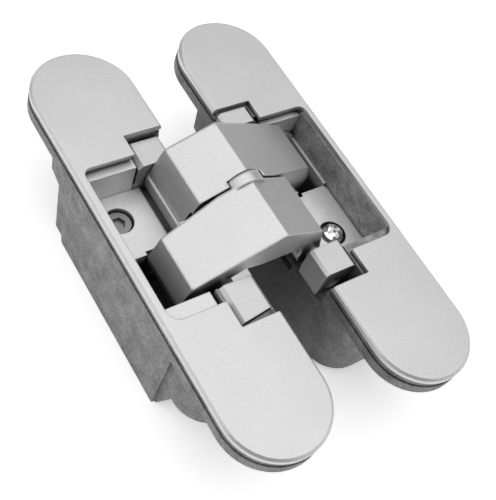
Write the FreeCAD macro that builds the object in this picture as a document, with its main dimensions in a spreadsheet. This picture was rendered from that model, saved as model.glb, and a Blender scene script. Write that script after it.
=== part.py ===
import FreeCAD, Part
import os
import Sketcher
from FreeCAD import Placement, Rotation, Vector

# Concealed door hinge, shown open flat (180 degrees).
# Frame: origin midway between the two bodies, at the middle of the covers'
# length, on the top faces of the covers. X runs from the left body to the
# right one, Y along the covers, Z up out of them. Millimetres.
# u is the distance outwards from the gap's middle: x = -u on the left body
# and x = +u on the right one.

doc = FreeCAD.newDocument("ConcealedHinge")
sheet = doc.addObject("Spreadsheet::Sheet", "Dims")

TABLE = [
    ("plate_len", 112.3, "cover length"),
    ("plate_width", 26.0, "cover width"),
    ("gap_half", 7.55, "half of the gap between the bodies"),
    ("cover_thick", 1.6, "cover thickness"),
    ("cover_round", 0.6, "bevel of the cover's rim"),
    ("groove_deep", 0.95, "shadow groove under the cover, depth"),
    ("groove_tall", 0.5, "shadow groove under the cover, height"),
    ("collar_thick", 0.9, "thin collar between the two grooves"),
    ("collar_inset", 0.25, "collar set back from the cover's edge"),
    ("low_groove_tall", 0.6, "lower groove, height"),
    ("flange_thick", 2.6, "thickness of the body's flange"),
    ("rail_wide", 2.05, "width of the cover beside its opening"),
    ("notch_side", 0.6, "gap beside a bearing block in the notch"),
    ("notch_top", 28.6, "far end of the wide notch"),
    ("notch_bottom", -26.0, "near end of the wide notch"),
    ("open_top", 22.8, "far end of the opening beside the rail"),
    ("open_bottom", -19.2, "near end of the opening beside the rail"),
    ("corner_near", 3.0, "round of the opening's near corner"),
    ("corner_far", 2.0, "round of the opening's far corner"),
    ("body_setback", 0.35, "deep box, inner side behind the cover's edge"),
    ("body_inset", 1.25, "deep box, outer side behind the cover's edge"),
    ("flush_inset", 0.35, "raised outer side behind the cover's edge"),
    ("box_top_far", 34.6, "far end of the web under the flange"),
    ("web_deep", 12.5, "depth of that web"),
    ("box_step_far", 29.5, "far end of the box below the web"),
    ("box_far", 27.6, "far end of the box at its bottom"),
    ("box_near", -24.9, "near end of the box at its bottom"),
    ("slope_near", -27.9, "near end of the box at the slope's bend"),
    ("slope_deep", 20.7, "depth of that bend"),
    ("box_top_near", -30.0, "near end of the box under the flange"),
    ("flush_far", 22.5, "far end of the raised outer side"),
    ("flush_runout", 4.5, "run-out of the raised side, far end"),
    ("boss_near", -37.9, "near end of the near boss"),
    ("boss_round", 9.0, "round of the near boss"),
    ("left_boss_deep", 19.5, "depth of the left near boss"),
    ("right_boss_deep", 26.8, "depth of the right near boss"),
    ("pocket_skin", 1.1, "outer wall beside the pocket"),
    ("inner_skin", 1.5, "inner wall beside the pocket"),
    ("pocket_floor", 2.0, "floor under the pocket"),
    ("insert_floor", 0.8, "floor of the insert"),
    ("nose_room", 0.35, "room under the nose of a folded arm"),
    ("insert_fit", 0.1, "clearance of the insert in its pocket"),
    ("inner_lip", 12.5, "depth of the low inner wall's top"),
    ("ledge_deep", 9.2, "depth of the ledge at the pocket's end"),
    ("pivot_u", 12.6, "u of the fixed pivot"),
    ("pivot_z", -6.5, "height of the fixed pivot"),
    ("pivot_pin_radius", 2.0, "fixed pivot pin"),
    ("pin_clear", 0.05, "radial clearance of the pins"),
    ("pin_end_inset", 0.8, "fixed pin's end inside the bearing block"),
    ("centre_z", 3.0, "height of the centre pin"),
    ("centre_radius", 2.0, "centre pin"),
    ("centre_bore", 12.0, "depth of the centre pin's bore in an arm"),
    ("guide_u", 18.4, "u of the guide pin when open"),
    ("guide_z", -9.2, "height of the guide pin when open"),
    ("guide_radius", 2.2, "guide pin"),
    ("slot_clear", 0.3, "clearance of the guide pin in the curved slot"),
    ("arm_mid", 3.5, "Y of the plane between the two arms"),
    ("arm_near", -13.3, "near end of the lower arm"),
    ("arm_far", 3.2, "far face of the lower arm"),
    ("foot_back", 0.7, "far face of the foot behind the arm's far face"),
    ("foot_from", 7.0, "u where the foot's far face steps back"),
    ("foot_below", 1.0, "depth at which it steps back"),
    ("nose_from", 8.0, "u where the nose's far face begins to slant"),
    ("nose_far", 0.5, "far face of the lower arm's nose at its tip"),
    ("ridge_x", 0.24, "ridge of an arm, off the middle"),
    ("ridge_z", 7.5, "height of the ridge"),
    ("shoulder_u", 11.9, "u of the shoulder's edge"),
    ("shoulder_z", 2.5, "height of the shoulder's edge"),
    ("crease_u", 22.65, "u of the crease above the nose"),
    ("crease_z", -1.8, "height of that crease"),
    ("heel_u", 15.0, "u of the heel below the shoulder"),
    ("heel_z", -7.0, "height of the heel"),
    ("belly_z", -2.5, "height of the arm's underside"),
    ("foot_reach", 4.4, "foot's reach around its pivot"),
    ("nose_reach", 3.7, "nose's reach around the guide pin"),
    ("nose_round", 1.6, "round of the nose's tip"),
    ("hub_radius", 5.0, "hub of the lower arm"),
    ("hub_gap", 0.3, "gap around the hub in its seat"),
    ("hub_far", 5.0, "far end of the hub"),
    ("washer_thick", 0.4, "thrust washer"),
    ("washer_inset", 0.2, "washer's rim inside the hub's rim"),
    ("block_wide", 4.8, "bearing block, from the pivot outwards"),
    ("block_top", -0.8, "bearing block, top"),
    ("low_block_top", -2.6, "top of the left far bearing block"),
    ("block_setback", 0.4, "bearing block behind the body's inner side"),
    ("block_bevel", 0.8, "bevel of a bearing block's inner edge"),
    ("block_round", 1.2, "bevel of a bearing block's outer edge"),
    ("block_base", -10.2, "bearing block, seat"),
    ("block_skew", 1.4, "slant of a near block's near end"),
    ("block_gap", 0.2, "gap at the end of a bearing block"),
    ("near_block_near", -25.2, "left near bearing block, near end"),
    ("right_block_near", -22.7, "right near bearing block, near end"),
    ("near_block_far", -15.3, "near bearing blocks, far end"),
    ("far_block_near", 22.9, "right far bearing block, near end"),
    ("far_block_far", 27.6, "far bearing blocks, far end"),
    ("deck_z", -11.0, "top of the insert's plate"),
    ("deck_inner", 16.0, "u of the insert plate's inner edge"),
    ("step_z", -12.6, "step of the insert below the plate"),
    ("strap_top", -6.4, "top of the end straps"),
    ("pin_cover", 3.0, "cover of a strap above the fixed pivot"),
    ("strap_side", 3.0, "side of a strap beside the fixed pivot"),
    ("left_deck_far", 20.6, "left insert plate, far edge"),
    ("ledge_thick", 0.6, "left ledge's root below the plate's top"),
    ("ledge_run", 0.3, "run of the steep face up to the left ledge"),
    ("ledge_far", 28.3, "far end of the left ledge"),
    ("shelf_z", -2.6, "top of the ledge and of the shelf in the opening"),
    ("shelf_thick", 1.6, "thickness of that shelf"),
    ("shelf_far", -14.7, "far edge of that shelf"),
    ("shelf_side", 0.9, "gap between the shelf and the near block"),
    ("left_far_block_near", 20.6, "left far bearing block, near end"),
    ("wall_thick", 0.9, "insert's outer wall between the straps"),
    ("wall_z", -10.0, "top of that wall"),
    ("slot_skin", 0.5, "strap left behind an end of a slot"),
    ("guide_end_gap", 0.2, "gap at each end of a guide pin"),
    ("head_radius", 3.1, "head of a clamp screw"),
    ("head_thick", 1.2, "thickness of the socket screw's head"),
    ("socket_half", 1.7, "hexagon socket, half width across corners"),
    ("socket_deep", 0.9, "depth of that socket"),
    ("dome_wall", 0.9, "side of the domed screw's head"),
    ("dome_tall", 2.8, "height of the domed screw's head"),
    ("cross_half", 0.42, "half width of the cross slot"),
    ("cross_reach", 1.9, "half length of the cross slot"),
    ("cross_deep", 1.4, "depth of the cross slot"),
    ("left_strap_near", 2.75, "left middle strap, near face"),
    ("left_strap_far", 4.2, "left middle strap, far face"),
    ("left_end_near", -15.2, "left end strap, near face"),
    ("left_end_far", -13.6, "left end strap, far face"),
    ("fix_inset", 10.15, "fixing hole from the cover's end"),
    ("fix_u", 20.5, "u of the fixing holes"),
    ("fix_radius", 2.4, "fixing hole"),
    ("clamp_inset", 6.3, "left clamp screw from the pocket's outer wall"),
    ("clamp_y", 13.5, "Y of the left clamp screw"),
    ("lock_inset", 7.1, "right clamp screw from the pocket's outer wall"),
    ("lock_y", -9.2, "Y of the right clamp screw"),
    ("recess_radius", 3.6, "round recess of a clamp screw"),
    ("left_recess_deep", 2.2, "depth of the left recess"),
    ("right_recess_deep", 1.4, "depth of the right recess"),
    ("shank_radius", 1.8, "shank of a clamp screw"),
    ("shank_len", 9.0, "length of that shank"),
    ("over", 1.0, "run of a cut past the face that it opens"),
]


class Size:
    """A length with its value and the cells that it comes from."""

    def __init__(self, value, text):
        self.value = float(value)
        self.text = text

    def __add__(self, other):
        other = as_size(other)
        return Size(self.value + other.value, "(%s + %s)" % (self.text, other.text))

    def __radd__(self, other):
        return as_size(other) + self

    def __sub__(self, other):
        other = as_size(other)
        return Size(self.value - other.value, "(%s - %s)" % (self.text, other.text))

    def __rsub__(self, other):
        return as_size(other) - self

    def __mul__(self, factor):
        return Size(self.value * factor, "(%s * %s)" % (self.text, repr(float(factor))))

    def __rmul__(self, factor):
        return self * factor

    def __neg__(self):
        return self * -1


def as_size(thing):
    if isinstance(thing, Size):
        return thing
    return Size(thing, "(%s)" % repr(float(thing)))


dim = {}
for row, (alias, value, note) in enumerate(TABLE, start=1):
    sheet.set("A%d" % row, note)
    sheet.set("B%d" % row, str(value))
    sheet.setAlias("B%d" % row, alias)
    dim[alias] = Size(value, "Dims." + alias)
doc.recompute()

PLANES = {"XY": "XY_Plane", "XZ": "XZ_Plane", "YZ": "YZ_Plane"}


def new_body(name):
    body = doc.addObject("PartDesign::Body", name)
    body.Label = name
    return body


def new_sketch(body, plane, level, name):
    """A sketch on one of the body's planes, moved to a level along it."""
    sketch = body.newObject("Sketcher::SketchObject", name)
    role = PLANES[plane]
    support = [f for f in body.Origin.OriginFeatures if f.Role == role][0]
    sketch.AttachmentSupport = [(support, "")]
    sketch.MapMode = "FlatFace"
    level = as_size(level)
    if plane == "XZ":
        level = -level
    sketch.setExpression("AttachmentOffset.Base.z", level.text)
    return sketch


def tie(sketch, kind, geo, point, size):
    """Hold one coordinate of a point to a size."""
    if abs(size.value) < 1e-9 and size.text == "(0.0)":
        axis = -2 if kind == "DistanceX" else -1
        sketch.addConstraint(Sketcher.Constraint("PointOnObject", geo, point, axis))
        return
    index = sketch.addConstraint(
        Sketcher.Constraint(kind, -1, 1, geo, point, size.value))
    sketch.setExpression("Constraints[%d]" % index, size.text)


def outline(sketch, corners):
    """A closed polygon with every corner held to its sizes."""
    corners = [(as_size(a), as_size(b)) for a, b in corners]
    first = sketch.GeometryCount
    count = len(corners)
    for i in range(count):
        a, b = corners[i]
        c, d = corners[(i + 1) % count]
        sketch.addGeometry(Part.LineSegment(
            Vector(a.value, b.value, 0), Vector(c.value, d.value, 0)), False)
    for i in range(count):
        sketch.addConstraint(Sketcher.Constraint(
            "Coincident", first + i, 2, first + (i + 1) % count, 1))
    for i in range(count):
        tie(sketch, "DistanceX", first + i, 1, corners[i][0])
        tie(sketch, "DistanceY", first + i, 1, corners[i][1])


def ring(sketch, centre, radius):
    """A circle held to its centre and radius."""
    a, b, r = as_size(centre[0]), as_size(centre[1]), as_size(radius)
    geo = sketch.addGeometry(Part.Circle(
        Vector(a.value, b.value, 0), Vector(0, 0, 1), r.value), False)
    tie(sketch, "DistanceX", geo, 3, a)
    tie(sketch, "DistanceY", geo, 3, b)
    index = sketch.addConstraint(Sketcher.Constraint("Radius", geo, r.value))
    sketch.setExpression("Constraints[%d]" % index, r.text)


def stadium(sketch, middle, half_width, half_len):
    """A long outline with round ends, standing along the second axis."""
    middle, half_width = as_size(middle), as_size(half_width)
    half_len = as_size(half_len)
    straight = half_len - half_width
    m, w, e = middle.value, half_width.value, straight.value
    pi = 3.141592653589793
    first = sketch.GeometryCount
    sketch.addGeometry(Part.LineSegment(Vector(m + w, -e, 0), Vector(m + w, e, 0)), False)
    sketch.addGeometry(Part.ArcOfCircle(
        Part.Circle(Vector(m, e, 0), Vector(0, 0, 1), w), 0, pi), False)
    sketch.addGeometry(Part.LineSegment(Vector(m - w, e, 0), Vector(m - w, -e, 0)), False)
    sketch.addGeometry(Part.ArcOfCircle(
        Part.Circle(Vector(m, -e, 0), Vector(0, 0, 1), w), pi, 2 * pi), False)
    for i in range(4):
        sketch.addConstraint(Sketcher.Constraint(
            "Tangent", first + i, 2, first + (i + 1) % 4, 1))
    tie(sketch, "DistanceX", first + 1, 3, middle)
    tie(sketch, "DistanceY", first + 1, 3, straight)
    tie(sketch, "DistanceY", first + 3, 3, -straight)
    index = sketch.addConstraint(Sketcher.Constraint("Radius", first + 1, w))
    sketch.setExpression("Constraints[%d]" % index, half_width.text)


def pad(body, sketch, length, name, back=False):
    feature = body.newObject("PartDesign::Pad", name)
    feature.Profile = sketch
    feature.Reversed = back
    feature.setExpression("Length", as_size(length).text)
    return feature


def pocket(body, sketch, length, name, back=False):
    feature = body.newObject("PartDesign::Pocket", name)
    feature.Profile = sketch
    feature.Reversed = back
    feature.setExpression("Length", as_size(length).text)
    return feature


def edges_at(shape, points, tolerance=0.15):
    """Names of the edges whose middle lies at one of the points; None in a
    point stands for any value."""
    names = []
    for number, edge in enumerate(shape.Edges, start=1):
        middle = edge.valueAt((edge.FirstParameter + edge.LastParameter) / 2)
        for point in points:
            gaps = [abs(m - p) for m, p in zip(middle, point) if p is not None]
            if max(gaps) < tolerance:
                names.append("Edge%d" % number)
                break
    return names


def fillet(body, points, radius, name):
    doc.recompute()
    base = body.Tip
    names = edges_at(base.Shape, points)
    if not names:
        raise RuntimeError("no edge found for " + name)
    feature = body.newObject("PartDesign::Fillet", name)
    feature.Base = (base, names)
    feature.setExpression("Radius", as_size(radius).text)
    return feature


def along_y(name, u_sign, u, z, near, far, radius):
    """A round pin along Y."""
    pin = doc.addObject("Part::Cylinder", name)
    pin.Label = name
    pin.Placement = Placement(Vector(0, 0, 0), Rotation(Vector(1, 0, 0), -90))
    pin.setExpression("Radius", as_size(radius).text)
    pin.setExpression("Height", (as_size(far) - as_size(near)).text)
    pin.setExpression("Placement.Base.x", (as_size(u) * u_sign).text)
    pin.setExpression("Placement.Base.y", as_size(near).text)
    pin.setExpression("Placement.Base.z", as_size(z).text)
    return pin


# Path of a guide pin in the body that it slides in: the centre pin goes round
# the fixed pivot, and the arm turns about the centre pin.
FOLD_SHARE = 0.6011716767


def guide_path(steps):
    from math import cos, sin, pi
    px, pz = -dim["pivot_u"].value, dim["pivot_z"].value
    cx, cz = 0.0, dim["centre_z"].value
    tx, tz = -dim["guide_u"].value, dim["guide_z"].value
    path = []
    for i in range(steps + 1):
        fold = pi * i / steps
        a = FOLD_SHARE * fold
        b = (1 - FOLD_SHARE) * fold
        mx = px + (cx - px) * cos(a) - (cz - pz) * sin(a)
        mz = pz + (cx - px) * sin(a) + (cz - pz) * cos(a)
        path.append((mx + (tx - cx) * cos(b) - (tz - cz) * sin(b),
                     mz + (tx - cx) * sin(b) + (tz - cz) * cos(b)))
    return path


half_width = dim["plate_width"] * 0.5
half_len = dim["plate_len"] * 0.5
plate_mid = dim["gap_half"] + half_width
plate_outer = dim["gap_half"] + dim["plate_width"]
cover_low = -dim["cover_thick"]
collar_top = cover_low - dim["groove_tall"]
collar_low = collar_top - dim["collar_thick"]
flange_top = collar_low - dim["low_groove_tall"]
flange_low = flange_top - dim["flange_thick"]
rail_inner = plate_outer - dim["rail_wide"]
body_inner = dim["gap_half"] + dim["body_setback"]
body_outer = plate_outer - dim["body_inset"]
body_flush = plate_outer - dim["flush_inset"]
pocket_outer = body_outer - dim["pocket_skin"]
pocket_wall = body_inner + dim["inner_skin"]
slot_low = as_size(min(z for x, z in guide_path(24)))
nose_low = slot_low - dim["nose_reach"] * 1.8
pocket_deep = dim["nose_room"] + dim["insert_floor"] - nose_low
body_deep = pocket_deep + dim["pocket_floor"]
clamp_u = pocket_outer - dim["clamp_inset"]
lock_u = pocket_outer - dim["lock_inset"]
block_outer = dim["pivot_u"] + dim["block_wide"]
notch_u = block_outer + dim["notch_side"]
open_side = dim["gap_half"] - dim["over"]
fix_y = half_len - dim["fix_inset"]
slot_half = dim["guide_radius"] + dim["slot_clear"]
hub_seat = dim["hub_radius"] + dim["hub_gap"]


def mirrored_y(size):
    return 2 * dim["arm_mid"] - as_size(size)


def opening(s):
    """Plan of the opening: a wide notch at the inner side for the bearing
    blocks, and a shorter part beside the rail."""
    return [
        (open_side * s, dim["notch_bottom"]),
        (notch_u * s, dim["notch_bottom"]),
        (notch_u * s, dim["open_bottom"]),
        (rail_inner * s, dim["open_bottom"]),
        (rail_inner * s, dim["open_top"]),
        (notch_u * s, dim["open_top"]),
        (notch_u * s, dim["notch_top"]),
        (open_side * s, dim["notch_top"]),
    ]


def build_cover(name, s):
    """Cover plate: a round-ended plate with the stepped opening."""
    body = new_body(name)
    plan = new_sketch(body, "XY", cover_low, name + "_plan")
    stadium(plan, plate_mid * s, half_width, half_len)
    pad(body, plan, dim["cover_thick"], name + "_plate")
    cut = new_sketch(body, "XY", 0, name + "_opening")
    outline(cut, opening(s))
    pocket(body, cut, dim["cover_thick"], name + "_notch")
    rail = s * rail_inner.value
    low = -dim["cover_thick"].value / 2
    fillet(body, [(rail, dim["open_bottom"].value, low)], dim["corner_near"],
           name + "_near_corner")
    fillet(body, [(rail, dim["open_top"].value, low)], dim["corner_far"],
           name + "_far_corner")
    doc.recompute()
    top = []
    for number, edge in enumerate(body.Tip.Shape.Edges, start=1):
        box = edge.BoundBox
        if box.ZMin > -1e-6 and box.ZMax < 1e-6:
            far_out = max(abs(box.XMin), abs(box.XMax))
            beyond = box.YMin > dim["notch_top"].value + 0.5
            before = box.YMax < dim["notch_bottom"].value - 0.5
            if far_out > rail * s + 1.0 or beyond or before:
                top.append("Edge%d" % number)
            elif far_out < dim["gap_half"].value + 0.1:
                top.append("Edge%d" % number)
    base = body.Tip
    rim = body.newObject("PartDesign::Chamfer", name + "_rim")
    rim.Base = (base, top)
    rim.setExpression("Size", dim["cover_round"].text)
    return body


def build_housing(name, s, near_boss_deep, near_block_near):
    """Cast body: flange, thin collar between two grooves, deep box with its
    pocket, and the recesses in which the bearing blocks sit."""
    body = new_body(name)
    layers = [
        ("flange", flange_low, dim["flange_thick"], as_size(0)),
        ("low_groove", flange_top, dim["low_groove_tall"], dim["groove_deep"]),
        ("collar", collar_low, dim["collar_thick"], dim["collar_inset"]),
        ("land", collar_top, dim["groove_tall"], dim["groove_deep"]),
    ]
    for layer, level, tall, inset in layers:
        plan = new_sketch(body, "XY", level, "%s_%s_plan" % (name, layer))
        stadium(plan, plate_mid * s, half_width - inset, half_len - inset)
        pad(body, plan, tall, "%s_%s" % (name, layer))

    # Deep box, as a profile along Y drawn across the body.
    root = flange_low + dim["flange_thick"] * 0.25
    side = new_sketch(body, "YZ", body_inner * s, name + "_box_side")
    outline(side, [
        (dim["box_top_far"], root),
        (dim["box_top_far"] - 0.9, -dim["web_deep"]),
        (dim["box_step_far"], -dim["web_deep"] - 1.5),
        (dim["box_far"], -body_deep),
        (dim["box_near"], -body_deep),
        (dim["slope_near"], -dim["slope_deep"]),
        (dim["box_top_near"], root),
    ])
    pad(body, side, body_outer - body_inner, name + "_box", s < 0)

    # The outer side stands flush over the middle and runs out at its far end.
    bulge = new_sketch(body, "XY", -body_deep, name + "_flush_plan")
    outline(bulge, [
        ((body_outer - dim["pocket_skin"]) * s, dim["box_near"] + 0.1),
        (body_flush * s, dim["box_near"] + 0.6),
        (body_flush * s, dim["flush_far"]),
        ((body_outer - dim["pocket_skin"]) * s, dim["flush_far"] + dim["flush_runout"]),
    ])
    pad(body, bulge, body_deep + root, name + "_flush")

    # Round-ended boss around the near fixing hole.
    boss_outer = body_outer - dim["insert_fit"]
    boss = new_sketch(body, "XY", -near_boss_deep, name + "_boss_plan")
    outline(boss, [
        (body_inner * s, dim["near_block_near"]),
        (body_inner * s, dim["boss_near"]),
        (boss_outer * s, dim["boss_near"]),
        (boss_outer * s, dim["near_block_near"]),
    ])
    pad(body, boss, near_boss_deep + root, name + "_boss")
    middle = (flange_low.value - near_boss_deep.value) / 2
    fillet(body, [(s * body_inner.value, dim["boss_near"].value, middle),
                  (s * boss_outer.value, dim["boss_near"].value, middle)],
           dim["boss_round"], name + "_boss_round")

    # Opening through flange and land, down to the recesses of the blocks.
    mouth = new_sketch(body, "XY", cover_low, name + "_mouth_plan")
    deep_near = dim["left_end_near"]
    if s < 0:
        far_end, near_end = dim["ledge_far"] + 0.2, dim["left_end_near"]
        deep_far, foot_far = dim["left_deck_far"], dim["left_far_block_near"]
    else:
        far_end, near_end = mirrored_y(dim["open_bottom"] + 1.8), dim["open_bottom"] + 2.2
        deep_far = mirrored_y(dim["left_end_near"])
        foot_far = deep_far
    outline(mouth, [
        (open_side * s, near_end),
        (pocket_outer * s, near_end),
        (pocket_outer * s, far_end),
        (open_side * s, far_end),
    ])
    pocket(body, mouth, dim["ledge_deep"] - dim["cover_thick"], name + "_mouth")

    # Deep pocket that takes the insert.
    well = new_sketch(body, "XY", -dim["ledge_deep"], name + "_well_plan")
    foot_u = notch_u
    outline(well, [
        (pocket_wall * s, deep_near),
        (pocket_outer * s, deep_near),
        (pocket_outer * s, deep_far),
        (foot_u * s, deep_far),
        (foot_u * s, foot_far + 0.001),
        (pocket_wall * s, foot_far + 0.001),
    ])
    pocket(body, well, pocket_deep - dim["ledge_deep"], name + "_well")

    # Low inner wall: the arms pass over it.
    lip = new_sketch(body, "XY", -dim["ledge_deep"], name + "_lip_plan")
    lip_wide = pocket_wall + 0.4
    outline(lip, [
        (open_side * s, dim["left_end_far"]),
        (lip_wide * s, dim["left_end_far"]),
        (lip_wide * s, dim["left_far_block_near"]),
        (open_side * s, dim["left_far_block_near"]),
    ])
    pocket(body, lip, dim["inner_lip"] - dim["ledge_deep"], name + "_lip")

    if s < 0:
        # Seat of the insert's far ledge.
        ledge = new_sketch(body, "XY", -dim["ledge_deep"], name + "_ledge_plan")
        outline(ledge, [
            (foot_u * s, deep_far - 0.5),
            (pocket_outer * s, deep_far - 0.5),
            (pocket_outer * s, far_end),
            (foot_u * s, far_end),
        ])
        pocket(body, ledge, -dim["deck_z"] + dim["ledge_thick"] - dim["ledge_deep"],
               name + "_ledge")

    shelf_out, shelf_in = dim["open_bottom"] - 0.1, dim["left_end_near"] + 0.5
    if s > 0:
        shelf_out, shelf_in = mirrored_y(shelf_out), mirrored_y(shelf_in)
    shelf = new_sketch(body, "XY", cover_low, name + "_shelf_plan")
    outline(shelf, [
        (notch_u * s, shelf_out),
        (pocket_outer * s, shelf_out),
        (pocket_outer * s, shelf_in),
        (notch_u * s, shelf_in),
    ])
    pocket(body, shelf, cover_low - dim["shelf_z"] + dim["shelf_thick"], name + "_shelf")

    # Recesses of the two bearing blocks, open to the inner side.
    seats = new_sketch(body, "XY", cover_low, name + "_seat_plan")
    seat_near = dim["near_block_near"] - dim["block_gap"]
    outline(seats, [
        (open_side * s, seat_near + (dim["block_skew"] if s < 0 else as_size(0))),
        (block_outer * s, seat_near),
        (block_outer * s, dim["near_block_far"] + dim["block_gap"]),
        (open_side * s, dim["near_block_far"] + dim["block_gap"]),
    ])
    outline(seats, [
        (open_side * s, dim["left_far_block_near"] - dim["block_gap"]),
        (block_outer * s, dim["left_far_block_near"] - dim["block_gap"]),
        (block_outer * s, dim["far_block_far"]),
        (open_side * s, dim["far_block_far"]),
    ])
    pocket(body, seats, -dim["block_base"] - dim["cover_thick"], name + "_seats")

    # Fixing holes through the flange, one near each end.
    holes = new_sketch(body, "XY", flange_low, name + "_fixing_plan")
    ring(holes, (dim["fix_u"] * s, fix_y), dim["fix_radius"])
    ring(holes, (dim["fix_u"] * s, -fix_y), dim["fix_radius"])
    pocket(body, holes, cover_low - flange_low, name + "_fixing", True)
    return body


def slot_tool(name, s, near, far):
    """The room that the roller sweeps: a band along the guide pin's path. The
    path turns sharply at its start, so the inner side begins on the start's
    round and meets the band's width further down."""
    from math import cos, sin, pi
    path = [Vector(x, 0, z) for x, z in guide_path(6)]
    wide = slot_half.value
    spline = Part.BSplineCurve()
    spline.interpolate(path)
    first_t, last_t = spline.FirstParameter, spline.LastParameter
    outer, inner = [], []
    for i in range(9):
        at = first_t + (last_t - first_t) * i / 8.0
        along = spline.tangent(at)[0]
        across = Vector(-along.z, 0, along.x) * wide
        if across.x > 0:
            across = across * -1
        if i == 0 and across.z < 0:
            across = across * -1
        outer.append(spline.value(at) + across)
        if i >= 5:
            inner.append(spline.value(at) - across)
    start, end = path[0], path[-1]
    turn = -70 * pi / 180
    inner.insert(0, start + Vector(cos(turn), 0, sin(turn)) * wide)
    side_a = Part.BSplineCurve()
    side_a.interpolate(outer)
    side_b = Part.BSplineCurve()
    side_b.interpolate(inner)
    last = spline.tangent(last_t)[0]
    foot = Part.Arc(outer[-1], end + last * wide, inner[-1])
    head = Part.Arc(inner[0], start + Vector(cos(pi / 8), 0, sin(pi / 8)) * wide, outer[0])
    wire = Part.Wire([side_a.toShape(), foot.toShape(), side_b.toShape(), head.toShape()])
    solid = Part.Face(wire).extrude(Vector(0, far - near, 0))
    solid.translate(Vector(0, near, 0))
    if s > 0:
        solid = solid.mirror(Vector(0, 0, 0), Vector(1, 0, 0))
    tool = doc.addObject("Part::Feature", name)
    tool.Shape = solid
    return tool


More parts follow.
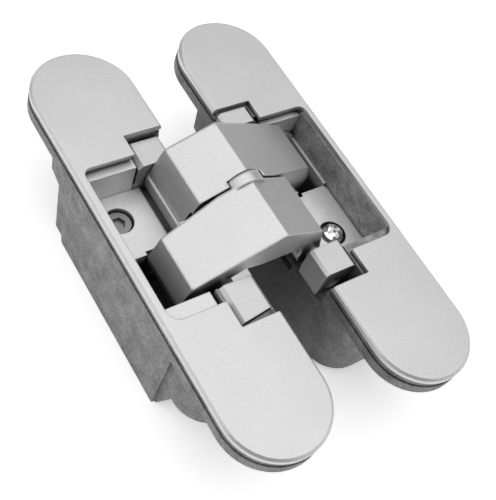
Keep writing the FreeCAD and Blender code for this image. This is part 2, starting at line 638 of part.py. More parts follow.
def build_insert(name, s):
    """Insert: the plate and block beside the fixed pivot's arm, and two
    straps with the curved slots for the other arm's guide pin."""
    core = new_body(name + "_core")
    if s < 0:
        deck_near, deck_far = dim["left_strap_far"], dim["left_deck_far"]
        mid_near, mid_far = dim["left_strap_near"], dim["left_strap_far"]
        end_near, end_far = dim["left_end_near"], dim["left_end_far"]
        floor_near, floor_far = end_near, mid_near
    else:
        deck_near = dim["left_end_near"]
        mid_near = mirrored_y(dim["left_strap_far"])
        mid_far = mirrored_y(dim["left_strap_near"])
        deck_far = mid_near
        end_near = mirrored_y(dim["left_end_far"])
        end_far = mirrored_y(dim["left_end_near"])
        floor_near, floor_far = mid_far, end_far
    inner = pocket_wall + dim["insert_fit"]
    outer = pocket_outer - dim["insert_fit"]
    base = -pocket_deep

    block = new_sketch(core, "XZ", deck_far, name + "_block_side")
    outline(block, [
        (dim["deck_inner"] * s, dim["deck_z"]),
        (outer * s, dim["deck_z"]),
        (outer * s, base),
        (inner * s, base),
        (inner * s, dim["step_z"]),
        ((dim["deck_inner"] - 1.6) * s, dim["step_z"]),
    ])
    pad(core, block, deck_far - deck_near, name + "_block")

    floor = new_sketch(core, "XY", base, name + "_floor_plan")
    outline(floor, [
        (inner * s, floor_near), (outer * s, floor_near),
        (outer * s, floor_far), (inner * s, floor_far)])
    pad(core, floor, dim["insert_floor"], name + "_floor")

    # Middle strap: low, with an open slot, and an eye for the fixed pivot.
    eye_side = dim["pivot_u"] + dim["strap_side"]
    middle = new_sketch(core, "XZ", mid_far, name + "_strap_side")
    outline(middle, [
        (inner * s, base),
        (outer * s, base),
        (outer * s, dim["deck_z"]),
        (eye_side * s, dim["deck_z"]),
        (eye_side * s, dim["pivot_z"] + dim["pin_cover"]),
        (inner * s, dim["pivot_z"] + dim["pin_cover"]),
    ])
    pad(core, middle, mid_far - mid_near, name + "_strap")

    end = new_sketch(core, "XZ", end_far, name + "_end_side")
    outline(end, [
        (inner * s, base),
        (outer * s, base),
        (outer * s, dim["guide_z"] - 0.4),
        ((dim["guide_u"] + dim["nose_reach"] + 2.5) * s, dim["strap_top"]),
        ((dim["guide_u"] - 0.5) * s, dim["strap_top"]),
        ((dim["guide_u"] - 3.0) * s, dim["block_base"]),
        (inner * s, dim["block_base"]),
    ])
    pad(core, end, end_far - end_near, name + "_end")

    if s < 0:
        # Far ledge with the steep face up to it.
        ledge = new_sketch(core, "YZ", (notch_u + dim["insert_fit"]) * s,
                           name + "_ledge_side")
        outline(ledge, [
            (deck_far - 2.0, dim["deck_z"] - dim["ledge_thick"]),
            (dim["ledge_far"], dim["deck_z"] - dim["ledge_thick"]),
            (dim["ledge_far"], dim["shelf_z"]),
            (deck_far + dim["ledge_run"], dim["shelf_z"]),
            (deck_far, dim["deck_z"]),
            (deck_far - 2.0, dim["deck_z"]),
        ])
        pad(core, ledge, outer - notch_u - dim["insert_fit"], name + "_ledge", True)

    # Shelf in the opening, on a web that stands on the end strap, and the
    # outer wall between the straps.
    shelf_u = notch_u + dim["shelf_side"]
    shelf_near, web_near, web_far = dim["open_bottom"], dim["left_end_near"], dim["shelf_far"]
    if s > 0:
        shelf_near, web_near = mirrored_y(shelf_near), mirrored_y(web_near)
        web_far = mirrored_y(web_far)
    shelf = new_sketch(core, "YZ", shelf_u * s, name + "_shelf_side")
    outline(shelf, [
        (shelf_near, dim["shelf_z"] - dim["shelf_thick"]),
        (web_near, dim["shelf_z"] - dim["shelf_thick"]),
        (web_near, dim["guide_z"] - 1.0),
        (web_far, dim["guide_z"] - 1.0),
        (web_far, dim["shelf_z"]),
        (shelf_near, dim["shelf_z"]),
    ])
    pad(core, shelf, outer - shelf_u, name + "_shelf", s < 0)
    wall = new_sketch(core, "XY", base, name + "_wall_plan")
    wall_inner = outer - dim["wall_thick"]
    outline(wall, [
        (wall_inner * s, floor_near), (outer * s, floor_near),
        (outer * s, floor_far), (wall_inner * s, floor_far)])
    pad(core, wall, dim["wall_z"] - base, name + "_wall")

    bore = new_sketch(core, "XZ", dim["arm_mid"], name + "_bore_side")
    ring(bore, (dim["pivot_u"] * s, dim["pivot_z"]),
         dim["pivot_pin_radius"] + dim["pin_clear"])
    pocket(core, bore, dim["plate_len"], name + "_bore")
    core.Tip.Midplane = True

    screw_u = clamp_u if s < 0 else lock_u
    screw_y = dim["clamp_y"] if s < 0 else dim["lock_y"]
    recess_deep = dim["left_recess_deep"] if s < 0 else dim["right_recess_deep"]
    recess = new_sketch(core, "XY", dim["deck_z"], name + "_recess_plan")
    ring(recess, (screw_u * s, screw_y), dim["recess_radius"])
    pocket(core, recess, recess_deep, name + "_recess")
    drill = new_sketch(core, "XY", dim["deck_z"] - recess_deep, name + "_drill_plan")
    ring(drill, (screw_u * s, screw_y), dim["shank_radius"] + dim["pin_clear"])
    pocket(core, drill, dim["shank_len"] + 0.5, name + "_drill")

    near_slot = slot_tool(name + "_slot_a", s, end_near.value - 1, end_far.value + 1)
    if s < 0:
        far_slot = slot_tool(name + "_slot_b", s, mid_near.value - 1,
                             mid_far.value - dim["slot_skin"].value)
    else:
        far_slot = slot_tool(name + "_slot_b", s, mid_near.value + dim["slot_skin"].value,
                             mid_far.value + 1)
    first = doc.addObject("Part::Cut", name + "_one_slot")
    first.Base = core
    first.Tool = near_slot
    final = doc.addObject("Part::Cut", name)
    final.Label = name
    final.Base = first
    final.Tool = far_slot
    return final


def build_bearing(name, s, near, far, top, skew):
    """Bearing block: holds one end of the fixed pivot pin, with a rounded top
    and, at the near end, a slant in plan."""
    body = new_body(name)
    base, inner = dim["block_base"], body_inner + dim["block_setback"]
    side = new_sketch(body, "XZ", far, name + "_side")
    outline(side, [
        (inner * s, base),
        (block_outer * s, base),
        (block_outer * s, top - dim["block_round"]),
        ((block_outer - dim["block_round"]) * s, top),
        ((inner + dim["block_bevel"]) * s, top),
        (inner * s, top - dim["block_bevel"]),
    ])
    ring(side, (dim["pivot_u"] * s, dim["pivot_z"]),
         dim["pivot_pin_radius"] + dim["pin_clear"])
    pad(body, side, far - near, name + "_block")
    if skew:
        slant = new_sketch(body, "XY", top, name + "_slant_plan")
        outline(slant, [
            (block_outer * s, near),
            (open_side * s, near + dim["block_skew"]),
            (open_side * s, near - dim["over"]),
            (block_outer * s, near - dim["over"]),
        ])
        pocket(body, slant, top - base, name + "_slant")
    return body


def build_arm(name):
    """Arm as it lies in the lower arm's place: angular back with one ridge,
    a hooked foot at its own pivot and a nose that carries the guide pin."""
    body = new_body(name)
    px, pz, foot = dim["pivot_u"], dim["pivot_z"], dim["foot_reach"]
    gx, gz, nose = -dim["guide_u"], dim["guide_z"], dim["nose_reach"]
    foot_shares = [(0.57, -0.70), (0.23, -1.07), (-0.32, -1.0), (-0.77, -0.61),
                   (-0.98, 0.0), (-0.91, 0.43)]
    nose_shares = [(1.08, 1.32), (0.865, 0.595), (0.865, -0.16), (0.486, -0.757),
                   (-0.162, -0.973), (-1.108, -1.0), (-1.62, -0.35), (-1.78, 0.43)]
    corners = [(-dim["ridge_x"], dim["ridge_z"]),
               (dim["shoulder_u"], dim["shoulder_z"]),
               (dim["heel_u"], dim["heel_z"])]
    corners += [(px + foot * a, pz + foot * b) for a, b in foot_shares]
    corners += [(px - foot * 1.27, dim["belly_z"]),
                (-dim["ridge_x"] - 3.8, dim["belly_z"]),
                (gx + nose * 2.68, dim["belly_z"] + 0.9)]
    corners += [(gx + nose * a, gz + nose * b) for a, b in nose_shares]
    corners += [(-dim["crease_u"], dim["crease_z"])]
    side = new_sketch(body, "XZ", dim["arm_far"], name + "_side")
    outline(side, corners)
    pad(body, side, dim["arm_far"] - dim["arm_near"], name + "_bar")
    slope = new_sketch(body, "XY", dim["ridge_z"] + dim["over"], name + "_nose_plan")
    beyond = -dim["crease_u"] - nose
    outline(slope, [
        (-dim["nose_from"], dim["arm_far"]),
        (beyond, dim["nose_far"]),
        (beyond, dim["arm_far"] + dim["over"]),
        (-dim["nose_from"], dim["arm_far"] + dim["over"])])
    pocket(body, slope, body_deep, name + "_nose_side")
    back = new_sketch(body, "XZ", dim["arm_far"] + dim["over"], name + "_foot_side")
    low = pz - foot * 1.2
    outline(back, [
        (dim["foot_from"], -dim["foot_below"]),
        (dim["foot_from"], low),
        (dim["heel_u"] + foot, low),
        (dim["heel_u"] + foot, -dim["foot_below"])])
    pocket(body, back, dim["foot_back"] + dim["over"], name + "_foot_back", True)
    return body


def finish_arm(body, hub):
    name = body.Name
    gx, gz = -dim["guide_u"].value, dim["guide_z"].value
    nose = dim["nose_reach"].value
    tip = [(gx - 1.108 * nose, None, gz - nose),
           (gx - 1.62 * nose, None, gz - 0.35 * nose)]
    fillet(body, tip, dim["nose_round"], name + "_nose_round")
    if hub:
        boss = new_sketch(body, "XZ", dim["hub_far"], name + "_hub_side")
        ring(boss, (0, dim["centre_z"]), dim["hub_radius"])
        pad(body, boss, dim["hub_far"] - dim["arm_far"] + dim["over"], name + "_hub")
        hole_top = dim["hub_far"]
    else:
        seat = new_sketch(body, "XZ", dim["arm_far"], name + "_seat_side")
        ring(seat, (0, dim["centre_z"]), hub_seat)
        depth = dim["hub_far"] + dim["washer_thick"] - mirrored_y(dim["arm_far"])
        pocket(body, seat, depth, name + "_seat", True)
        hole_top = dim["arm_far"]
    bores = new_sketch(body, "XZ", hole_top, name + "_centre_side")
    ring(bores, (0, dim["centre_z"]), dim["centre_radius"] + dim["pin_clear"])
    pocket(body, bores, hole_top - dim["arm_far"] + dim["centre_bore"],
           name + "_centre_bore", True)
    through = new_sketch(body, "XZ", dim["arm_far"] + dim["over"], name + "_pin_side")
    ring(through, (dim["pivot_u"], dim["pivot_z"]),
         dim["pivot_pin_radius"] + dim["pin_clear"])
    ring(through, (-dim["guide_u"], dim["guide_z"]), dim["guide_radius"])
    pocket(body, through, dim["arm_far"] - dim["arm_near"] + dim["over"] * 2,
           name + "_pin_bores", True)


def washer(name, u_sign, u, z, near, far, outer, inner):
    """Flat ring on a line along Y."""
    disc = along_y(name + "_disc", u_sign, u, z, near, far, outer)
    hole = along_y(name + "_hole", u_sign, u, z, near - dim["over"],
                   far + dim["over"], inner)
    cut = doc.addObject("Part::Cut", name)
    cut.Label = name
    cut.Base = disc
    cut.Tool = hole
    return cut


def socket_screw(name, u, y):
    """Cylinder-head screw with a hexagon socket, low in its recess."""
    body = new_body(name)
    seat = dim["deck_z"] - dim["left_recess_deep"]
    head = new_sketch(body, "XY", seat, name + "_head_plan")
    ring(head, (-u, y), dim["head_radius"])
    pad(body, head, dim["head_thick"], name + "_head")
    shank = new_sketch(body, "XY", seat - dim["shank_len"], name + "_shank_plan")
    ring(shank, (-u, y), dim["shank_radius"])
    pad(body, shank, dim["shank_len"], name + "_shank")
    hexagon = new_sketch(body, "XY", seat + dim["head_thick"], name + "_socket_plan")
    r = dim["socket_half"]
    outline(hexagon, [
        (-u + r, y), (-u + r * 0.5, y + r * 0.866), (-u - r * 0.5, y + r * 0.866),
        (-u - r, y), (-u - r * 0.5, y - r * 0.866), (-u + r * 0.5, y - r * 0.866)])
    pocket(body, hexagon, dim["socket_deep"], name + "_socket")
    return body


def domed_screw(name, u, y):
    """Screw with a domed head and a cross slot, standing proud of the plate."""
    body = new_body(name)
    seat = dim["deck_z"] - dim["right_recess_deep"]
    shape = new_sketch(body, "XZ", y, name + "_half_side")
    top = seat + dim["dome_tall"]
    rise = dim["dome_tall"] - dim["dome_wall"]
    outline(shape, [
        (u, seat - dim["shank_len"]),
        (u + dim["shank_radius"], seat - dim["shank_len"]),
        (u + dim["shank_radius"], seat),
        (u + dim["head_radius"], seat),
        (u + dim["head_radius"], seat + dim["dome_wall"]),
        (u + dim["head_radius"] * 0.82, top - rise * 0.55),
        (u + dim["head_radius"] * 0.52, top - rise * 0.18),
        (u, top)])
    turn = body.newObject("PartDesign::Revolution", name + "_turned")
    turn.Profile = shape
    axis = new_sketch(body, "XZ", y, name + "_axis")
    axis.addGeometry(Part.LineSegment(
        Vector(u.value, seat.value, 0), Vector(u.value, top.value, 0)), False)
    tie(axis, "DistanceX", 0, 1, u)
    tie(axis, "DistanceY", 0, 1, seat)
    tie(axis, "DistanceX", 0, 2, u)
    tie(axis, "DistanceY", 0, 2, top)
    turn.ReferenceAxis = (axis, ["Edge1"])
    turn.Angle = 360
    cross = new_sketch(body, "XY", top, name + "_cross_plan")
    a, b = dim["cross_half"], dim["cross_reach"]
    outline(cross, [
        (u + b, y - a), (u + b, y + a), (u + a, y + a), (u + a, y + b),
        (u - a, y + b), (u - a, y + a), (u - b, y + a), (u - b, y - a),
        (u - a, y - a), (u - a, y - b), (u + a, y - b), (u + a, y - a)])
    pocket(body, cross, dim["cross_deep"], name + "_cross")
    return body


pieces = []
pin_far = dim["far_block_far"] - dim["pin_end_inset"]
for label, s in (("left", -1), ("right", 1)):
    if s < 0:
        boss_deep, block_near = dim["left_boss_deep"], dim["near_block_near"]
        far_near, far_top, skew = dim["left_far_block_near"], dim["low_block_top"], True
        pin_near = block_near + dim["block_skew"] + dim["pin_end_inset"]
    else:
        boss_deep, block_near = dim["right_boss_deep"], dim["right_block_near"]
        far_near, far_top, skew = dim["far_block_near"], dim["block_top"], False
        pin_near = block_near + dim["pin_end_inset"]
    pieces.append(build_cover("cover_" + label, s))
    pieces.append(build_housing("body_" + label, s, boss_deep, block_near))
    pieces.append(build_insert("insert_" + label, s))
    pieces.append(build_bearing("bearing_near_" + label, s, block_near,
                                dim["near_block_far"], dim["block_top"], skew))
    pieces.append(build_bearing("bearing_far_" + label, s, far_near,
                                dim["far_block_far"], far_top, False))
    pieces.append(along_y("pivot_pin_" + label, s, dim["pivot_u"], dim["pivot_z"],
                          pin_near, pin_far, dim["pivot_pin_radius"]))
pieces.append(socket_screw("clamp_screw_left", clamp_u, dim["clamp_y"]))
pieces.append(domed_screw("clamp_screw_right", lock_u, dim["lock_y"]))

lower = build_arm("arm_lower")
finish_arm(lower, True)
upper = build_arm("arm_upper")
finish_arm(upper, False)
upper.Placement = Placement(Vector(0, 0, 0), Rotation(Vector(0, 0, 1), 180))
upper.setExpression("Placement.Base.y", (2 * dim["arm_mid"]).text)
pieces += [lower, upper]

# The centre pin is blind in both arms; a thrust washer fills the seat.
blind = dim["arm_far"] - dim["centre_bore"]
end_gap = dim["guide_end_gap"]
pieces.append(along_y("centre_pin", 1, 0, dim["centre_z"], blind + end_gap,
                      mirrored_y(blind) - end_gap, dim["centre_radius"]))
pieces.append(washer("thrust_washer", 1, 0, dim["centre_z"], dim["hub_far"],
                     dim["hub_far"] + dim["washer_thick"],
                     dim["hub_radius"] - dim["washer_inset"],
                     dim["centre_radius"] + dim["pin_clear"]))

# Guide pins run from strap to strap and slide in the curved slots.
near_end = dim["left_end_near"] + end_gap
far_end = dim["left_strap_far"] - dim["slot_skin"] - dim["pin_clear"] * 2
pieces.append(along_y("guide_pin_left", -1, dim["guide_u"], dim["guide_z"],
                      near_end, far_end, dim["guide_radius"]))
pieces.append(along_y("guide_pin_right", 1, dim["guide_u"], dim["guide_z"],
                      mirrored_y(far_end), mirrored_y(near_end), dim["guide_radius"]))

doc.recompute()
failed = [o.Label for o in doc.Objects
          if "Invalid" in o.State or "Error" in o.State]
if failed:
    raise RuntimeError("failed: " + ", ".join(failed))
for piece in pieces:
    if piece.Shape.isNull() or not piece.Shape.isValid() or not piece.Shape.Solids:
        raise RuntimeError("bad shape: " + piece.Label)

os.makedirs("parts", exist_ok=True)
for piece in pieces:
    piece.Shape.exportStep(os.path.join("parts", piece.Label + ".step"))
    print(piece.Label, len(piece.Shape.Solids), round(piece.Shape.Volume, 1))
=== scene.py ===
import bpy
from bpy.props import FloatProperty, FloatVectorProperty, PointerProperty
from mathutils import Matrix, Vector


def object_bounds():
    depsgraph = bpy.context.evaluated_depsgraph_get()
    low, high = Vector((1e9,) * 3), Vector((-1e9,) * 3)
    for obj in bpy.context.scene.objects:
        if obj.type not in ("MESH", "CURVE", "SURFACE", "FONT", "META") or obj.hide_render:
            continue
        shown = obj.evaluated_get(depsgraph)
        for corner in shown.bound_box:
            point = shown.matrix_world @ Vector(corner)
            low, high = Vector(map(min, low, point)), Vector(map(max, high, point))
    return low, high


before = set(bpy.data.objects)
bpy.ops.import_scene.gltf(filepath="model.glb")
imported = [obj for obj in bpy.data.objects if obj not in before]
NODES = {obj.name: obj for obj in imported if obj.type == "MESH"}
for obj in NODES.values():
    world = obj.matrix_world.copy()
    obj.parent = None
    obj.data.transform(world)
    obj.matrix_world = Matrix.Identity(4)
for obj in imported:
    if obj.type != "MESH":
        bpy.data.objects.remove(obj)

bl_info = {
    "name": "Concealed hinge looks",
    "version": (1, 0, 0),
    "blender": (4, 5, 0),
    "location": "View3D > Sidebar > Hinge",
    "description": "Finishes, light and camera of a concealed door hinge",
    "category": "Object",
}

CAD_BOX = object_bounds()

# A pocket's plan and floor, in metres from the middle of the gap. The notches
# of the covers reach further along than the pocket does.
POCKET_NEAR = 0.0093
POCKET_FAR = 0.0314
POCKET_END = 0.0229
NOTCH_END = 0.0285
POCKET_FLOOR = 0.0282

# Where painted shade lies on the sides that face the gap, along the body.
GAP_SHADE_START = 0.0140
GAP_SHADE_END = 0.0360

# How far an edge's softened normal has turned, as a cosine, for the painted highlight: at full
# strength, and not at all.
FULL_HIGHLIGHT_TURN = 0.80
NO_HIGHLIGHT_TURN = 0.985

# The paper floor's half width, and the distances between which it brightens, in metres.
FLOOR_HALF = 12.0
GLOW_START = 0.25
GLOW_END = 1.60

# The photograph's camera: place in metres, direction of view and upward direction.
CAMERA_PLACE = (-0.104279, -0.077953, 0.158547)
CAMERA_AHEAD = (0.493299, 0.343176, -0.799304)
CAMERA_UP = (0.312671, 0.787519, 0.531084)


class HingeFinish(bpy.types.PropertyGroup):
    """Colours and surface sizes that a user would change."""

    cover_grey: FloatVectorProperty(
        name="Cover colour", description="Satin lacquer of the covers",
        subtype="COLOR", size=3, min=0, max=1, default=(0.66, 0.66, 0.66))
    arm_grey: FloatVectorProperty(
        name="Arm colour", description="Satin lacquer of the arms",
        subtype="COLOR", size=3, min=0, max=1, default=(0.65, 0.65, 0.65))
    insert_grey: FloatVectorProperty(
        name="Insert colour", description="Plates and bearing blocks in the pockets",
        subtype="COLOR", size=3, min=0, max=1, default=(0.66, 0.66, 0.66))
    cast_grey: FloatVectorProperty(
        name="Casting colour", description="Rough cast bodies",
        subtype="COLOR", size=3, min=0, max=1, default=(0.235, 0.235, 0.235))
    satin_rough: FloatProperty(
        name="Satin roughness", description="Roughness of the lacquered faces",
        min=0.05, max=1, default=0.42)
    edge_round: FloatProperty(
        name="Edge rounding", description="Width of the softened edges",
        unit="LENGTH", min=0, max=0.002, default=0.0003)


class HingeStage(bpy.types.PropertyGroup):
    """Light levels and the camera's lens."""

    key_power: FloatProperty(
        name="Key light", description="Power of the soft key light",
        unit="POWER", min=0, default=11.6)
    side_power: FloatProperty(
        name="Side light", description="Power of the soft light from the left",
        unit="POWER", min=0, default=1.9)
    near_power: FloatProperty(
        name="Near light", description="Power of the soft light from the near end",
        unit="POWER", min=0, default=0.85)
    world_level: FloatProperty(
        name="Room level", description="Strength of the even room light",
        min=0, default=0.12)
    lens: FloatProperty(
        name="Lens", description="Focal length on a 36 mm wide sensor",
        unit="CAMERA", min=10, default=64.036)


def node(tree, kind, sockets, **settings):
    """Add a node, set it up, and fill its sockets with values or links."""
    made = tree.nodes.new(kind)
    for key, value in settings.items():
        setattr(made, key, value)
    for key, value in sockets.items():
        if isinstance(value, bpy.types.NodeSocket):
            tree.links.new(value, made.inputs[key])
        else:
            made.inputs[key].default_value = value
    return made


def new_finish(name):
    """A new material with its node tree and its shader."""
    material = bpy.data.materials.new(name)
    material.use_nodes = True
    tree = material.node_tree
    tree.nodes.clear()
    shader = node(tree, "ShaderNodeBsdfPrincipled", {})
    node(tree, "ShaderNodeOutputMaterial", {"Surface": shader.outputs["BSDF"]})
    return material, tree, shader


def maths(tree, operation, *values):
    return node(tree, "ShaderNodeMath", dict(enumerate(values)),
                operation=operation).outputs["Value"]


def coordinates(tree, kind="Object"):
    """The piece's own coordinates or normal."""
    return node(tree, "ShaderNodeTexCoord", {}).outputs[kind]


def split_axes(tree, vector):
    return node(tree, "ShaderNodeSeparateXYZ", {0: vector}).outputs


def noise(tree, scale, detail=3.0, rough=0.5):
    """Noise that is fixed to the piece."""
    return node(tree, "ShaderNodeTexNoise", {
        "Vector": coordinates(tree), "Scale": scale, "Detail": detail, "Roughness": rough,
    }).outputs["Fac"]


def span(tree, source, low, high, start=0.0, end=1.0):
    """Carry the range from start to end over to the range from low to high."""
    return node(tree, "ShaderNodeMapRange", {
        "Value": source, "From Min": start, "From Max": end, "To Min": low, "To Max": high,
    }).outputs["Result"]


def shades(tree, source, low, high, start=0.3, end=0.7):
    """Colours from low to high as the source goes from start to end."""
    ramp = node(tree, "ShaderNodeValToRGB", {"Fac": source})
    for stop, place, colour in zip(ramp.color_ramp.elements, (start, end), (low, high)):
        stop.position = place
        stop.color = (*colour, 1)
    return ramp.outputs["Color"]


def scaled(tree, colour, factor):
    return node(tree, "ShaderNodeVectorMath", {0: colour, "Scale": factor},
                operation="SCALE").outputs["Vector"]


def blended(tree, factor, first, second):
    """The first colour at factor 0, the second at factor 1."""
    return node(tree, "ShaderNodeMix", {"Factor": factor, 6: first, 7: second},
                data_type="RGBA").outputs[2]


def times(colour, factor):
    return tuple(min(1.0, c * factor) for c in colour)


def soft_edges(tree, width):
    """Normals that turn softly over the edges."""
    return node(tree, "ShaderNodeBevel", {"Radius": width}, samples=6).outputs["Normal"]


def grain_bump(tree, shader, source, height, soft=None):
    """Surface grain, over softened edges where they are given."""
    sockets = {"Distance": height, "Strength": 1.0, "Height": source}
    if soft is not None:
        sockets["Normal"] = soft
    bump = node(tree, "ShaderNodeBump", sockets)
    tree.links.new(bump.outputs["Normal"], shader.inputs["Normal"])


def painted_edge_highlight(tree, soft, colour, bright, amount):
    """Lighten a colour along the edges: a painted highlight on the rims."""
    face = node(tree, "ShaderNodeNewGeometry", {}).outputs["Normal"]
    turn = node(tree, "ShaderNodeVectorMath", {0: face, 1: soft},
                operation="DOT_PRODUCT").outputs["Value"]
    share = span(tree, turn, amount, 0.0, FULL_HIGHLIGHT_TURN, NO_HIGHLIGHT_TURN)
    return blended(tree, share, colour, (bright, bright, bright, 1))


def painted_hollow_shade(tree, colour, reach, low, shut=0.15, clear=0.75):
    """Darken a colour in narrow gaps and corners: painted shade where less light reaches."""
    hollow = node(tree, "ShaderNodeAmbientOcclusion", {"Distance": reach}, samples=8)
    return scaled(tree, colour, span(tree, hollow.outputs["AO"], low, 1.0, shut, clear))


def paint_light_and_shade_by_depth(tree, colour, start, end, level, reach=POCKET_END):
    """Painted light and shade by depth in the pocket plan: the colour is kept above start and
    scaled to level below end.
    """
    axes = split_axes(tree, coordinates(tree))
    inside = 1.0
    for axis, near, far in (("X", POCKET_NEAR, POCKET_FAR),
                            ("Y", 0.0, reach),
                            ("Z", 0.0, POCKET_FLOOR)):
        within = maths(tree, "COMPARE", maths(tree, "ABSOLUTE", axes[axis]),
                       (near + far) / 2, (far - near) / 2)
        inside = maths(tree, "MULTIPLY", inside, within)
    depth = span(tree, axes["Z"], level, 1.0, end, start)
    return blended(tree, inside, colour, scaled(tree, colour, depth))


def painted_gap_shade(tree, colour):
    """Painted shade on the sides that face the gap, darkest by the arms."""
    axes = split_axes(tree, coordinates(tree))
    across, along = (maths(tree, "ABSOLUTE", axes[axis]) for axis in ("X", "Y"))
    facing = span(tree, across, 1.0, 0.0, POCKET_NEAR - 0.0002, POCKET_NEAR + 0.0012)
    shade_level = span(tree, along, 0.22, 0.80, GAP_SHADE_START, GAP_SHADE_END)
    return blended(tree, facing, colour, scaled(tree, colour, shade_level))


def shade_upright_faces(tree, colour, level):
    """Painted shade on upright faces: darker than the tops, down to level where the normal points
    sideways.
    """
    upward = split_axes(tree, coordinates(tree, "Normal"))["Z"]
    return scaled(tree, colour, span(tree, upward, level, 1.0, 0.2, 0.6))


def satin_lacquer(name, colour, rough, edge, corner=0.0013, metal=0.8, sides=None,
                  top=0.0, under=1.0, deep_shade=(-0.0120, -0.0140)):
    """Fine-grained satin silver lacquer with faint cloudiness.

    corner is how far painted shade reaches from a corner, sides the level of painted shade on
    upright faces, under the level just below the height top (below 1 painted shade, above 1
    painted light), and deep_shade the heights between which painted shade turns it dark.
    """
    material, tree, shader = new_finish(name)
    grain = noise(tree, scale=2600.0, rough=0.75)
    haze = span(tree, noise(tree, scale=60.0), 0.36, 0.64)
    mottle = maths(tree, "ADD", haze, span(tree, grain, -0.42, 0.42))
    plain = shades(tree, mottle, times(colour, 0.86), times(colour, 1.12), 0.25, 0.75)
    soft = soft_edges(tree, edge)
    # Painted highlight along the edges.
    highlit = painted_edge_highlight(tree, soft, plain, bright=0.92, amount=0.7)
    # Painted shade in corners and in deep gaps.
    toned = painted_hollow_shade(tree, highlit, corner, low=0.03)
    toned = painted_hollow_shade(tree, toned, reach=0.005, low=0.02, shut=0.10, clear=0.45)
    # Painted shade on upright faces, where sides is given.
    if sides is not None:
        toned = shade_upright_faces(tree, toned, sides)
    # Painted shade (under below 1) and painted light (under above 1) just below the top; painted
    # shade deeper down.
    toned = paint_light_and_shade_by_depth(tree, toned, top, top - 0.0012, under, NOTCH_END)
    toned = paint_light_and_shade_by_depth(tree, toned, *deep_shade, level=0.10)
    tree.links.new(toned, shader.inputs["Base Color"])
    tree.links.new(span(tree, grain, rough - 0.05, rough + 0.07), shader.inputs["Roughness"])
    shader.inputs["Metallic"].default_value = metal
    grain_bump(tree, shader, grain, height=0.00003, soft=soft)
    return material


def rough_casting(name, colour, edge):
    """Die-cast skin: mottled grey with shallow pits and darker patches."""
    material, tree, shader = new_finish(name)
    patches = noise(tree, scale=220.0, detail=5.0, rough=0.6)
    pits = noise(tree, scale=1500.0, detail=4.0, rough=0.7)
    mottle = maths(tree, "ADD", patches, span(tree, pits, -0.55, 0.55))
    plain = shades(tree, mottle, times(colour, 0.60), times(colour, 1.55), 0.28, 0.74)
    soft = soft_edges(tree, edge)
    # Painted highlight along the edges.
    highlit = painted_edge_highlight(tree, soft, plain, bright=0.6, amount=0.6)
    # Painted shade on the sides that face the gap, and in hollows and gaps.
    toned = painted_hollow_shade(tree, painted_gap_shade(tree, highlit), reach=0.005, low=0.05, shut=0.12, clear=0.60)
    # Painted light on the ledges just below the top, and painted shade deep in the pockets.
    toned = paint_light_and_shade_by_depth(tree, toned, start=-0.0010, end=-0.0025, level=1.45)
    toned = paint_light_and_shade_by_depth(tree, toned, start=-0.0095, end=-0.0150, level=0.06)
    tree.links.new(toned, shader.inputs["Base Color"])
    tree.links.new(span(tree, patches, 0.48, 0.72), shader.inputs["Roughness"])
    shader.inputs["Metallic"].default_value = 0.3
    grain_bump(tree, shader, pits, height=0.0001, soft=soft)
    return material


def bright_plating(name, level, rough, edge=0.0001):
    """Bright plated steel with a faint turned grain."""
    material, tree, shader = new_finish(name)
    colour = (level, level, level)
    grain = noise(tree, scale=3000.0, detail=2.0)
    plain = shades(tree, grain, times(colour, 0.9), colour)
    tree.links.new(plain, shader.inputs["Base Color"])
    tree.links.new(span(tree, grain, rough * 0.8, rough * 1.3), shader.inputs["Roughness"])
    shader.inputs["Metallic"].default_value = 1.0
    grain_bump(tree, shader, grain, height=0.000003, soft=soft_edges(tree, edge))
    return material


def dark_polymer(name, level):
    """Dark slide plastic with a fine moulded grain."""
    material, tree, shader = new_finish(name)
    colour = (level, level, level)
    grain = noise(tree, scale=2600.0)
    plain = shades(tree, grain, times(colour, 0.8), times(colour, 1.3))
    tree.links.new(plain, shader.inputs["Base Color"])
    shader.inputs["Roughness"].default_value = 0.55
    grain_bump(tree, shader, grain, height=0.00001)
    return material


def finish_node(name, material):
    """Give a carried-over part its finish through its own object slots."""
    for slot in NODES[name].material_slots:
        slot.link = "OBJECT"
        slot.material = material


class HINGE_OT_covers(bpy.types.Operator):
    """Finish the two cover plates"""
    bl_idname = "hinge.covers"
    bl_label = "Cover plates"

    def execute(self, context):
        look = context.scene.hinge_finish
        # Painted shade on the cover edges around the openings, just below the top.
        satin = satin_lacquer("cover_lacquer", look.cover_grey, look.satin_rough,
                              look.edge_round, top=-0.0003, under=0.12)
        for name in ("cover_left", "cover_right"):
            finish_node(name, satin)
        return {"FINISHED"}


class HINGE_OT_bodies(bpy.types.Operator):
    """Finish the two cast bodies"""
    bl_idname = "hinge.bodies"
    bl_label = "Cast bodies"

    def execute(self, context):
        look = context.scene.hinge_finish
        cast = rough_casting("cast_skin", look.cast_grey, look.edge_round)
        for name in ("body_left", "body_right"):
            finish_node(name, cast)
        return {"FINISHED"}


class HINGE_OT_inserts(bpy.types.Operator):
    """Finish the inserts and bearing blocks"""
    bl_idname = "hinge.inserts"
    bl_label = "Inserts and bearing blocks"

    def execute(self, context):
        look = context.scene.hinge_finish
        # Painted light on the plates deeper than their top.
        plate = satin_lacquer("insert_lacquer", look.insert_grey, look.satin_rough,
                              look.edge_round, metal=0.5, top=-0.0012, under=1.12)
        # Painted shade on the upright faces of the bearing blocks.
        block = satin_lacquer("bearing_lacquer", look.insert_grey, look.satin_rough,
                              look.edge_round, metal=0.5, sides=0.62)
        for name in NODES:
            if name.startswith("insert_"):
                finish_node(name, plate)
            elif name.startswith("bearing_"):
                finish_node(name, block)
        return {"FINISHED"}


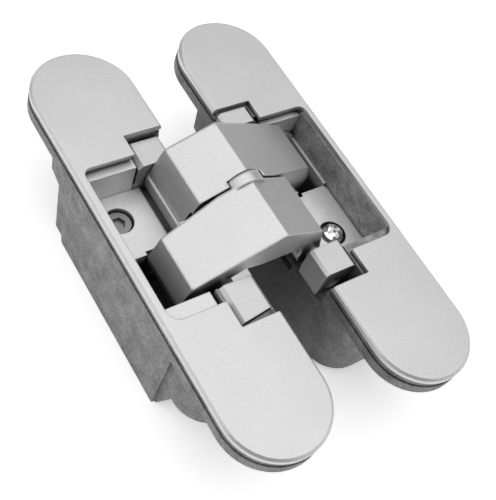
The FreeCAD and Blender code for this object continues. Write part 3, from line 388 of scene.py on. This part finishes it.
class HINGE_OT_arms(bpy.types.Operator):
    """Finish the two crossed arms"""
    bl_idname = "hinge.arms"
    bl_label = "Arms"

    def execute(self, context):
        look = context.scene.hinge_finish
        # Painted shade in the arms' corners and on their lower parts.
        satin = satin_lacquer("arm_lacquer", look.arm_grey, look.satin_rough,
                              look.edge_round * 3, corner=0.0032, deep_shade=(-0.0030, -0.0115))
        for name in ("arm_lower", "arm_upper"):
            finish_node(name, satin)
        return {"FINISHED"}


class HINGE_OT_hardware(bpy.types.Operator):
    """Finish pins, washer and screws"""
    bl_idname = "hinge.hardware"
    bl_label = "Pins and screws"

    def execute(self, context):
        steel = bright_plating("pin_steel", level=0.62, rough=0.28)
        chrome = bright_plating("screw_chrome", level=0.9, rough=0.12)
        dull = bright_plating("screw_zinc", level=0.22, rough=0.34)
        slide = dark_polymer("slide_plastic", level=0.02)
        for name in NODES:
            if "_pin" in name:
                finish_node(name, steel)
        finish_node("thrust_washer", slide)
        finish_node("clamp_screw_left", dull)
        finish_node("clamp_screw_right", chrome)
        return {"FINISHED"}


def floor_paper():
    """White paper that keeps the shadow and brightens away from the hinge."""
    material, tree, shader = new_finish("floor_paper")
    fibre = shades(tree, noise(tree, scale=40.0), (0.93, 0.93, 0.93), (0.95, 0.95, 0.95))
    tree.links.new(fibre, shader.inputs["Base Color"])
    shader.inputs["Roughness"].default_value = 0.95
    shader.inputs["Specular IOR Level"].default_value = 0.0
    shader.inputs["Emission Color"].default_value = (1, 1, 1, 1)
    away = node(tree, "ShaderNodeVectorMath", {0: coordinates(tree)}, operation="LENGTH")
    glow = span(tree, away.outputs["Value"], 0.46, 0.85, GLOW_START, GLOW_END)
    rays = node(tree, "ShaderNodeLightPath", {}).outputs
    seen = rays["Is Camera Ray"]
    for ray in ("Is Glossy Ray", "Is Transmission Ray"):
        seen = maths(tree, "MAXIMUM", seen, rays[ray])
    shown = maths(tree, "MULTIPLY", seen, glow)
    tree.links.new(shown, shader.inputs["Emission Strength"])
    return material


def lay_floor(scene):
    mesh = bpy.data.meshes.new("studio_floor")
    low = CAD_BOX[0][2]
    corners = ((-1, -1), (1, -1), (1, 1), (-1, 1))
    mesh.from_pydata([(x * FLOOR_HALF, y * FLOOR_HALF, low) for x, y in corners],
                     [], [(0, 1, 2, 3)])
    mesh.materials.append(floor_paper())
    floor = bpy.data.objects.new("studio_floor", mesh)
    scene.collection.objects.link(floor)


def light_room(scene, level):
    """Even room light that rises to white at the foot of the walls, behind the floor's end."""
    world = bpy.data.worlds.new("studio_room")
    scene.world = world
    world.use_nodes = True
    air = world.node_tree
    air.nodes.clear()
    height = split_axes(air, coordinates(air, "Generated"))["Z"]
    back = node(air, "ShaderNodeBackground", {
        "Color": (1, 1, 1, 1), "Strength": span(air, height, 1.0, level, 0.04, 0.10),
    })
    node(air, "ShaderNodeOutputWorld", {"Surface": back.outputs["Background"]})


def hang_softbox(scene, name, place, target, size, power):
    data = bpy.data.lights.new(name, "AREA")
    data.shape = "RECTANGLE"
    data.size, data.size_y = size
    data.energy = power
    lamp = bpy.data.objects.new(name, data)
    scene.collection.objects.link(lamp)
    lamp.location = place
    aim = Vector(target) - Vector(place)
    lamp.rotation_euler = aim.to_track_quat("-Z", "Y").to_euler()


def set_camera(scene, lens):
    data = bpy.data.cameras.new("photo_camera")
    data.sensor_fit = "HORIZONTAL"
    data.sensor_width = 36.0
    data.lens = lens
    data.clip_start = 0.01
    data.clip_end = 20.0
    camera = bpy.data.objects.new("photo_camera", data)
    scene.collection.objects.link(camera)
    ahead = Vector(CAMERA_AHEAD).normalized()
    up = Vector(CAMERA_UP)
    up = (up - ahead * up.dot(ahead)).normalized()
    turn = Matrix((ahead.cross(up), up, -ahead)).transposed().to_4x4()
    camera.matrix_world = Matrix.Translation(CAMERA_PLACE) @ turn
    scene.camera = camera


class HINGE_OT_stage(bpy.types.Operator):
    """Floor, room light, lamps and camera"""
    bl_idname = "hinge.stage"
    bl_label = "Stage"

    def execute(self, context):
        scene = context.scene
        stage = scene.hinge_stage
        lay_floor(scene)
        light_room(scene, stage.world_level)
        hang_softbox(scene, "top_softbox", place=(0.12, 0.13, 0.95), target=(0.12, 0.13, 0),
                     size=(1.7, 1.6), power=stage.key_power)
        hang_softbox(scene, "left_softbox", place=(-0.80, 0.34, 0.52), target=(0, 0, 0),
                     size=(0.9, 0.6), power=stage.side_power)
        hang_softbox(scene, "near_softbox", place=(0.49, -0.80, 0.40), target=(0, 0, 0),
                     size=(0.9, 0.5), power=stage.near_power)
        set_camera(scene, stage.lens)
        scene.view_settings.view_transform = "Standard"
        return {"FINISHED"}


STEPS = (
    HINGE_OT_covers,
    HINGE_OT_bodies,
    HINGE_OT_inserts,
    HINGE_OT_arms,
    HINGE_OT_hardware,
    HINGE_OT_stage,
)


class HINGE_PT_panel(bpy.types.Panel):
    """Buttons for each group of pieces"""
    bl_label = "Concealed hinge"
    bl_idname = "HINGE_PT_panel"
    bl_space_type = "VIEW_3D"
    bl_region_type = "UI"
    bl_category = "Hinge"

    def draw(self, context):
        column = self.layout.column()
        for step in STEPS:
            column.operator(step.bl_idname)
        for settings in (context.scene.hinge_finish, context.scene.hinge_stage):
            for key in settings.bl_rna.properties.keys():
                if key not in ("rna_type", "name"):
                    column.prop(settings, key)


CLASSES = (HingeFinish, HingeStage, *STEPS, HINGE_PT_panel)


def register():
    for item in CLASSES:
        bpy.utils.register_class(item)
    bpy.types.Scene.hinge_finish = PointerProperty(type=HingeFinish)
    bpy.types.Scene.hinge_stage = PointerProperty(type=HingeStage)


def unregister():
    del bpy.types.Scene.hinge_stage
    del bpy.types.Scene.hinge_finish
    for item in reversed(CLASSES):
        bpy.utils.unregister_class(item)


def main():
    register()
    bpy.ops.hinge.covers()
    bpy.ops.hinge.bodies()
    bpy.ops.hinge.inserts()
    bpy.ops.hinge.arms()
    bpy.ops.hinge.hardware()
    bpy.ops.hinge.stage()


if __name__ == "__main__":
    main()
